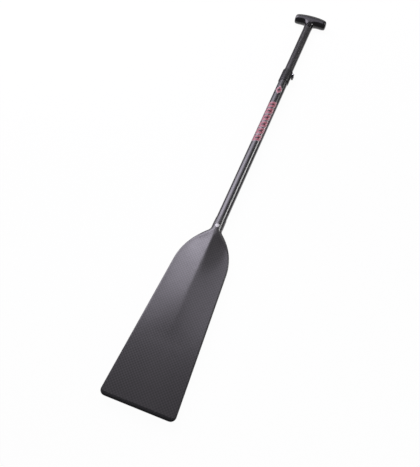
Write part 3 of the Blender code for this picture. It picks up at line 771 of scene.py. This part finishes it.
def wrapped_patch(outline, turn_deg, radius):
    """A filled outline of (round, along) points, wrapped on the shaft; fine strips keep it curved."""
    made = bmesh.new()
    uv = made.loops.layers.uv.new("UVMap")
    corners = [made.verts.new((u, v, 0)) for u, v in outline]
    made.faces.new(corners)
    low = min(u for u, v in outline)
    high = max(u for u, v in outline)
    strips = max(2, round((high - low) / MARK_STRIP))
    for k in range(1, strips):
        cut_u = low + (high - low) * k / strips
        everything = made.verts[:] + made.edges[:] + made.faces[:]
        bmesh.ops.bisect_plane(made, geom=everything, plane_co=(cut_u, 0, 0), plane_no=(1, 0, 0))
    for face in made.faces:
        for loop in face.loops:
            loop[uv].uv = (loop.vert.co.x * MM, loop.vert.co.y * MM)
    for vert in made.verts:
        angle = math.radians(turn_deg) + vert.co.x / radius
        vert.co = at(radius * math.sin(angle), vert.co.y, radius * math.cos(angle))
    return made


def slanted_block(middle, half, half_length, slant):
    """A parallelogram round the shaft by half each way, and along it by half_length."""
    return [(-half, middle - half_length - slant), (half, middle - half_length + slant),
            (half, middle + half_length + slant), (-half, middle + half_length - slant)]


def joined(name, meshes, look):
    """Several wrapped outlines as one printed piece."""
    made = bmesh.new()
    made.loops.layers.uv.new("UVMap")
    for part in meshes:
        scratch = bpy.data.meshes.new("scratch")
        part.to_mesh(scratch)
        part.free()
        made.from_mesh(scratch)
        bpy.data.meshes.remove(scratch)
    add_piece(name, made, look, "paddle")


def diamond(share):
    """The badge's outline at a share of its full size."""
    tall, wide = BADGE_HALF_LENGTH * share, BADGE_HALF_WIDTH * share
    return [(0.0, BADGE_Y - tall), (wide, BADGE_Y), (0.0, BADGE_Y + tall), (-wide, BADGE_Y)]


def printed_marks(looks):
    """Pale blocks with a red field and a dark slot, and the badge above them, in three printed layers."""
    half = BLOCK_LENGTH / 2
    layers = ([], [], [])
    sizes = ((BLOCK_HALF_WIDTH, half, BLOCK_SLANT),
             (BLOCK_HALF_WIDTH - BLOCK_BORDER, half - BLOCK_BORDER, BLOCK_SLANT * RED_SLANT_SHARE),
             (SLOT_HALF_WIDTH, SLOT_HALF_LENGTH, BLOCK_SLANT * SLOT_SLANT_SHARE))
    for layer, size, badge_share in zip(layers, sizes, BADGE_SHARES):
        for k in range(BLOCK_COUNT):
            layer.append(slanted_block(BLOCK_START + BLOCK_PITCH * k + half, *size))
        layer.append(diamond(badge_share))
    for number, (layer, look) in enumerate(zip(layers, ("pale", "red", "ink"))):
        radius = SHAFT_RADIUS + MARK_LIFT * (1 + number)
        patches = [wrapped_patch(outline, MARK_TURN_DEG, radius) for outline in layer]
        joined(f"shaft_marks_{look}", patches, looks[look])


# ---- the clamp ----
def pin_hole_tool(name, half_length, look):
    """A hidden cylinder, parallel to Z, that bores the pin's hole."""
    radius = PIN_RADIUS + PIN_CLEARANCE
    profile = [(0, -half_length), (radius, -half_length), (radius, half_length), (0, half_length)]
    bore = turned(profile, HOLE_SIDES)
    tool = hide_tool(add_piece(name, bore, look, None, place=at(LEVER_PIVOT_X, LEVER_PIVOT_Y, 0)))
    tool.rotation_euler = UPRIGHT
    return tool


def collar_profile():
    """The collar's section as (radius, height from the pivot): rolled ends, a groove and the bores."""
    low = COLLAR_START - LEVER_PIVOT_Y
    high = COLLAR_END - LEVER_PIVOT_Y
    step = SHAFT_END + FIT - LEVER_PIVOT_Y
    over_shaft = SHAFT_RADIUS + FIT
    over_tube = INNER_RADIUS + FIT
    over_wiper = COLLAR_RADIUS - WIPER_SEAT_WALL
    groove_floor = COLLAR_RADIUS - COLLAR_GROOVE_DEPTH
    groove_low = low + COLLAR_GROOVE[0]
    groove_high = low + COLLAR_GROOVE[1]
    lower_end = [(COLLAR_RADIUS - 0.6, low), (COLLAR_RADIUS - 0.3, low + 0.1),
                 (COLLAR_RADIUS - 0.05, low + 0.35), (COLLAR_RADIUS, low + 0.7)]
    groove = [(COLLAR_RADIUS, groove_low), (groove_floor, groove_low + COLLAR_GROOVE_DEPTH),
              (groove_floor, groove_high - COLLAR_GROOVE_DEPTH), (COLLAR_RADIUS, groove_high)]
    upper_end = [(COLLAR_RADIUS, high - 1.2), (COLLAR_RADIUS - 0.12, high - 0.6),
                 (COLLAR_RADIUS - 0.4, high - 0.12), (COLLAR_RADIUS - 0.7, high)]
    seat = [(over_wiper, high), (over_wiper, high - WIPER_DEPTH - FIT), (over_tube, high - WIPER_DEPTH - FIT)]
    bores = [(over_tube, step), (over_shaft, step)]
    return [(over_shaft, low)] + lower_end + groove + upper_end + seat + bores


def clamp_collar(look):
    """The sleeve on the shaft's end, with two lugs for the lever and a window for the shoe."""
    place = at(0, LEVER_PIVOT_Y, 0)
    collar = add_piece("clamp_collar_body", turned(collar_profile()), look, "paddle",
                       ["clamp_collar"], place=place)
    lug_outline = [(LUG_ROOT_X, LUG_ROOT_SPAN[0])] + arc((LEVER_PIVOT_X, 0), LUG_RADIUS, -60, 90, 20)
    lug_outline.append((LUG_ROOT_X, LUG_ROOT_SPAN[1]))
    for side, word in ((-1, "back"), (1, "front")):
        offset = side * (LEVER_HALF_WIDTH + FIT + LUG_THICKNESS / 2)
        lug = hide_tool(add_piece(f"lug_{word}", plate(lug_outline, LUG_THICKNESS / 2), look, None,
                                  place=place + Vector((0, 0, offset)) * MM))
        soften(lug, 0.35, 3)
        cut(collar, lug, "UNION")
    half_length = SHOE_HALF_LENGTH + FIT
    near, far = WINDOW_X
    opening = plate([(near, -half_length), (far, -half_length), (far, half_length), (near, half_length)],
                    SHOE_HALF_HEIGHT + FIT)
    window = hide_tool(add_piece("window", opening, look, None, place=place))
    for tool in (window, pin_hole_tool("pin_hole", 12, look)):
        cut(collar, tool)


def wiper_ring(look):
    """The rubber ring in the collar's mouth, with a lip on the inner tube."""
    outer = COLLAR_RADIUS - WIPER_SEAT_WALL - FIT / 2
    inner = INNER_RADIUS + 0.15
    profile = [(outer, -WIPER_DEPTH), (outer, -0.15), (outer - 0.15, 0.0), (inner + 0.6, 0.3),
               (inner + 0.25, 0.15), (inner, -0.2), (inner, -WIPER_DEPTH)]
    add_piece("wiper_ring_lip", turned(profile), look, "paddle", ["wiper_ring"],
              place=at(0, COLLAR_END, 0))


def cam_lever(look):
    """The lever about its pin: a spiral cam towards the shaft, and an arm along it."""
    tip_centre = (ARM_TIP_X, LEVER_TIP_Y - LEVER_PIVOT_Y + ARM_TIP_RADIUS)
    outline = spiral((0, 0), (CAM_CLOSED, CAM_OPEN), 180.0, 180.0 - LEVER_OPEN_DEG, 30)
    outline += arc((0, 0), CAM_OPEN, 15, -30, 6)
    outline += ARM_OUTER
    outline += arc(tip_centre, ARM_TIP_RADIUS, 0, -180, 16)
    outline += ARM_INNER
    outline += arc((0, 0), CAM_CLOSED, 205, 190, 4)
    lever = add_piece("cam_lever_body", plate(outline, LEVER_HALF_WIDTH), look, "lever",
                      ["cam_lever"], place=at(LEVER_PIVOT_X, LEVER_PIVOT_Y, 0))
    cut(lever, pin_hole_tool("lever_hole", 6, look))
    soften(lever, 0.5, 4)


def upright(name, profile, look, body, node):
    """A turned piece whose axis is parallel to Z, at the lever's pivot."""
    place = at(LEVER_PIVOT_X, LEVER_PIVOT_Y, 0)
    piece = add_piece(name, turned(profile, SMALL_SIDES), look, None, place=place)
    piece.rotation_euler = UPRIGHT
    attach(piece, body)
    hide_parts(node)


def lever_pin(look):
    """The hinge pin, with a domed head on the front lug."""
    face = LEVER_HALF_WIDTH + FIT + LUG_THICKNESS + PIN_GAP
    tail = -face - PIN_TAIL
    dome = [(PIN_HEAD_RADIUS * math.cos(a), face + 0.5 + (PIN_HEAD_HEIGHT - 0.5) * math.sin(a))
            for a in (math.radians(d) for d in range(0, 90, 10))]
    profile = [(0, tail), (PIN_RADIUS - 0.25, tail), (PIN_RADIUS, tail + 0.25), (PIN_RADIUS, face),
               (PIN_HEAD_RADIUS, face)] + dome + [(0, face + PIN_HEAD_HEIGHT)]
    upright("lever_pin_steel", profile, look, "paddle", "lever_pin")


def pin_clip(look):
    """The push-on ring that holds the pin's tail behind the back lug."""
    face = -(LEVER_HALF_WIDTH + FIT + LUG_THICKNESS + PIN_GAP)
    back = face - CLIP_THICKNESS
    inner = PIN_RADIUS + PIN_CLEARANCE
    outer = PIN_HEAD_RADIUS - 0.2
    profile = [(outer - 0.15, back), (outer, back + 0.15), (outer, face - 0.15), (outer - 0.15, face),
               (inner, face), (inner, back)]
    upright("pin_clip_steel", profile, look, "paddle", "pin_clip")


# ---- the grip ----
def grip_solid(name, look):
    """The T-grip's smooth barrel and neck, from a coarse cage under a Subdivision Surface."""
    made = bmesh.new()
    rings = []
    for share in BARREL_COLUMNS:
        radius = GRIP_RADIUS + (GRIP_END_RADIUS - GRIP_RADIUS) * share ** 2
        if abs(share) == 1.0:
            radius *= GRIP_CAP_SHARE
        middle = BARREL_Y - GRIP_DROOP * share ** 2
        ring = []
        for side in range(8):
            angle = math.radians(45 * side - 90)
            ring.append(made.verts.new(at(GRIP_HALF_LENGTH * share,
                                          middle + radius * CAGE_SPREAD * math.sin(angle),
                                          radius * CAGE_SPREAD * math.cos(angle))))
        rings.append(ring)
    centre = len(rings) // 2
    under = {(column, side) for column in (centre - 1, centre) for side in (7, 0)}
    for column in range(len(rings) - 1):
        for side in range(8):
            if (column, side) not in under:
                n = (side + 1) % 8
                made.faces.new((rings[column][side], rings[column + 1][side],
                                rings[column + 1][n], rings[column][n]))
    made.faces.new(rings[0])
    made.faces.new(rings[-1][::-1])
    left, middle, right = rings[centre - 1], rings[centre], rings[centre + 1]
    previous = [left[7], middle[7], right[7], right[0], right[1], middle[1], left[1], left[0]]
    radius = GRIP_NECK_RADIUS * CAGE_SPREAD
    neck_end = INNER_END + FIT
    for y in (BARREL_Y - GRIP_NECK_DROPS[0], BARREL_Y - GRIP_NECK_DROPS[1], neck_end + 1.0, neck_end):
        ring = []
        for side in range(8):
            angle = math.radians(45 * side - 135)
            ring.append(made.verts.new(at(radius * math.cos(angle), y, radius * math.sin(angle))))
        for k in range(8):
            n = (k + 1) % 8
            made.faces.new((previous[k], previous[n], ring[n], ring[k]))
        previous = ring
    made.faces.new(previous)
    piece = add_piece(name, made, look, None)
    rounding = piece.modifiers.new("rounding", "SUBSURF")
    rounding.levels = GRIP_ROUNDING
    rounding.render_levels = GRIP_ROUNDING
    return piece


def grip_shells(look):
    """The grip's solid, bored for the spigot and cut in two halves with a fine parting line between them."""
    radius = INNER_RADIUS - INNER_WALL
    hole = turned([(0, SPIGOT_HOLE_START), (radius, SPIGOT_HOLE_START),
                   (radius, SPIGOT_HOLE_END), (0, SPIGOT_HOLE_END)], SMALL_SIDES)
    spigot_hole = hide_tool(add_piece("spigot_hole", hole, look, None, place=at(0, 0, 0)))
    reach = GRIP_HALF_LENGTH + TOOL_MARGIN
    bottom = INNER_END - TOOL_MARGIN
    top = LENGTH + TOOL_MARGIN
    for side, word in ((1, "front"), (-1, "rear")):
        shell = grip_solid(f"grip_{word}_moulding", look)
        box = plate([(-reach, bottom), (reach, bottom), (reach, top), (-reach, top)], TOOL_HALF_DEPTH)
        half = hide_tool(add_piece(f"{word}_half", box, look, None,
                                   place=at(0, 0, side * (TOOL_HALF_DEPTH + SEAM))))
        cut(shell, spigot_hole)
        cut(shell, half, "INTERSECT")
        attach(shell, "grip_tube")
        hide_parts(f"grip_{word}_shell")


# ---- the CAD pieces that stay, hidden inside or small ----
def dress_inner_nodes(nodes, looks):
    """Gives each carried-over CAD node its procedural material."""
    dressing = {
        "blade_spar": "laminate", "blade_core_left": "foam", "blade_core_right": "foam",
        "shaft_foam_plug": "foam", "tube_foam_bung": "foam", "grip_core": "foam",
        "grip_spigot": "laminate", "tube_end_plug": "nylon", "guide_bush": "acetal",
        "brake_shoe": "rubber",
    }
    for node, look in dressing.items():
        for slot in nodes[node].material_slots:
            slot.material = looks[look]


# ---- the studio ----
def softbox(name, place, aim, size, radiance, tint=(1.0, 1.0, 1.0)):
    """A rectangular light that looks equally bright at any size."""
    light = bpy.data.lights.new(name, "AREA")
    light.shape = "RECTANGLE"
    light.size, light.size_y = size
    light.energy = radiance * math.pi * light.size * light.size_y
    light.color = tint
    lamp = bpy.data.objects.new(name, light)
    lamp.location = place
    lamp.rotation_mode = "QUATERNION"
    lamp.rotation_quaternion = (Vector(aim) - Vector(place)).to_track_quat("-Z", "Y")
    bpy.context.collection.objects.link(lamp)


def key_panel(low_deg, high_deg, start, end, radiance):
    """One pane of the curved softbox: degrees from +Z towards -X, and metres along Y."""
    lean = math.radians((low_deg + high_deg) / 2)
    middle = (start + end) / 2
    place = (-KEY_DISTANCE * math.sin(lean), middle, KEY_DISTANCE * math.cos(lean))
    size = (end - start, 2 * KEY_DISTANCE * math.tan(math.radians(high_deg - low_deg) / 2))
    softbox(f"key_{low_deg}_{round(start * 10)}", place, (0.0, middle, 0.0), size, radiance, KEY_TINT)


def surroundings():
    """Bright below the horizon and dim above it, which gives the tubes their dark rims."""
    world = bpy.data.worlds.new("studio")
    world.use_nodes = True
    nodes = world.node_tree.nodes
    links = world.node_tree.links
    background = nodes["Background"]
    background.inputs["Color"].default_value = SKY_COLOUR
    direction = nodes.new("ShaderNodeSeparateXYZ")
    links.new(nodes.new("ShaderNodeTexCoord").outputs["Generated"], direction.inputs[0])
    strength = nodes.new("ShaderNodeMapRange")
    for index, number in enumerate((*SKY_FADE, *SKY_STRENGTHS)):
        strength.inputs[index + 1].default_value = number
    links.new(direction.outputs["Z"], strength.inputs[0])
    links.new(strength.outputs[0], background.inputs["Strength"])
    bpy.context.scene.world = world


def studio():
    """The curved key over the paddle's left, a strip for its right edge, and one beyond the grip."""
    for low, high, radiance in KEY_COLUMNS:
        for start, end, share in KEY_ROWS:
            key_panel(low, high, start, end, radiance * share)
    softbox("edge_strip", **EDGE_STRIP)
    softbox("far_strip", **FAR_STRIP)
    surroundings()
    bpy.context.scene.view_settings.view_transform = "Standard"


def floor(look):
    """A plain floor just under the paddle; it is kept out of reflections, so that dark rims stay dark."""
    made = bmesh.new()
    half = FLOOR_HALF
    square = ((-half, -half), (half, -half), (half, half), (-half, half))
    made.faces.new([made.verts.new((x, y, -FLOOR_DROP)) for x, y in square])
    ground = add_piece("studio_floor", made, look, None)
    ground.visible_glossy = False


def camera():
    """The photo's camera, fitted to the paddle's outline."""
    lens = bpy.data.cameras.new("camera")
    lens.lens = CAMERA_LENS
    lens.sensor_width = SENSOR
    lens.clip_start = 0.01
    eye = bpy.data.objects.new("camera", lens)
    eye.location = CAMERA_PLACE
    eye.rotation_mode = "QUATERNION"
    turn = (CAMERA_AIM - CAMERA_PLACE).to_track_quat("-Z", "Y")
    eye.rotation_quaternion = turn @ Quaternion((0, 0, 1), math.radians(CAMERA_ROLL_DEG))
    bpy.context.collection.objects.link(eye)
    bpy.context.scene.camera = eye


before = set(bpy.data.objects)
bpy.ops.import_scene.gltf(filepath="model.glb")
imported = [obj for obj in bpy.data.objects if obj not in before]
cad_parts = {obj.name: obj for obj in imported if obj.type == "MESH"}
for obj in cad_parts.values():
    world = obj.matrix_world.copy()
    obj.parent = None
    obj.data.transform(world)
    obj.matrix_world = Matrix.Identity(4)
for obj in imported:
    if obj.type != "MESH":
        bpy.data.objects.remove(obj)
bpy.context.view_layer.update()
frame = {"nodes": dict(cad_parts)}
looks = make_materials()

blade_skin("blade_front_skin", 1, looks["carbon"])
blade_skin("blade_back_skin", -1, looks["carbon"])
tip_guard(looks["resin"])
approval_disc(looks["white"])
tube("main_shaft_weave", SHAFT_RADIUS, SHAFT_RADIUS - SHAFT_WALL, SHAFT_START, SHAFT_END, looks["tube"],
     "paddle", "main_shaft")
printed_marks(looks)
clamp_collar(looks["nylon"])
wiper_ring(looks["rubber"])
cam_lever(looks["nylon"])
lever_pin(looks["steel"])
pin_clip(looks["steel"])
tube("inner_tube_weave", INNER_RADIUS, INNER_RADIUS - INNER_WALL, INNER_START, INNER_END, looks["tube"],
     "grip_tube", "inner_tube")
grip_shells(looks["grip"])
dress_inner_nodes(frame["nodes"], looks)

studio()
floor(plain_floor())
camera()
